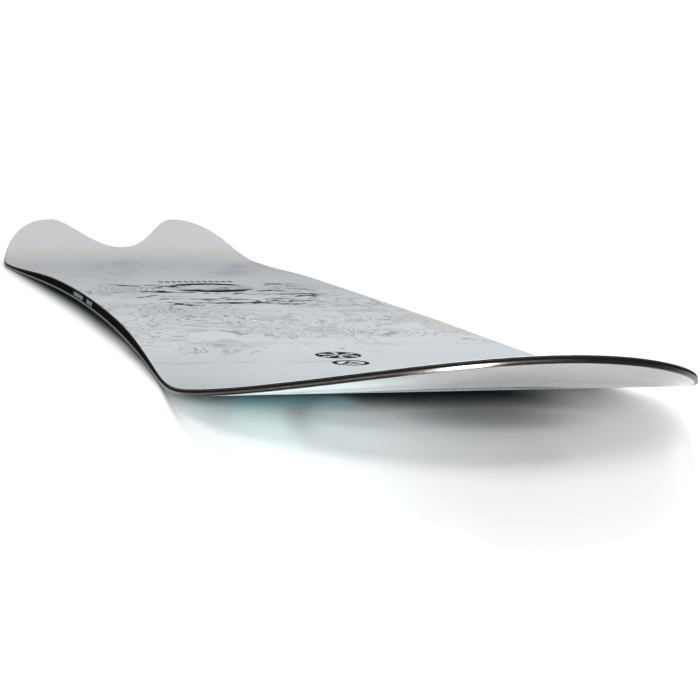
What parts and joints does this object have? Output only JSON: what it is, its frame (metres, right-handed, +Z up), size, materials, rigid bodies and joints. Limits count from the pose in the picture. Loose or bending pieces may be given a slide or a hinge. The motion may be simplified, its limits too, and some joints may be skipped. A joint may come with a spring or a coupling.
{
  "type": "snowboard",
  "caption": "Directional powder snowboard with a wide upturned nose, a swallow tail, steel edges, black sidewalls and threaded binding inserts, on light camber",
  "frame": {"origin": "middle of the length and width, at the level that the base rests on", "axes": "X runs along the board from tail to nose, Y across it from the right rail to the left rail, Z up"},
  "size_m": [1.58, 0.309, 0.057],
  "materials": {
    "printed_topsheet": "satin, pale grey with fine ink line work",
    "sidewall_plastic": "smooth black",
    "edge_steel": "ground",
    "running_base": "stone ground, waxed",
    "insert_steel": "stainless",
    "damping_rubber": "matt",
    "glass_laminate": "cured resin and glass cloth",
    "poplar": "sanded",
    "beech": "sanded"
  },
  "bodies": {
    "root": {"base_sheet": "running_base", "steel_edge": "edge_steel", "edge_rubber": "damping_rubber", "lower_laminate_sheet": "glass_laminate", "core_strip_centre": "poplar", "core_strip_left_1": "beech", "core_strip_left_2": "poplar", "core_strip_left_3": "beech", "core_strip_left_4": "poplar", "core_strip_left_5": "beech", "core_strip_right_1": "beech", "core_strip_right_2": "poplar", "core_strip_right_3": "beech", "core_strip_right_4": "poplar", "core_strip_right_5": "beech", "sidewall_left": "sidewall_plastic", "sidewall_right": "sidewall_plastic", "nose_spacer": "sidewall_plastic", "tail_spacer": "sidewall_plastic", "insert_strip_front": "glass_laminate", "insert_strip_rear": "glass_laminate", "inserts_front": "insert_steel", "inserts_rear": "insert_steel", "upper_laminate_sheet": "glass_laminate", "topsheet": "printed_topsheet"}
  },
  "joints": []
}
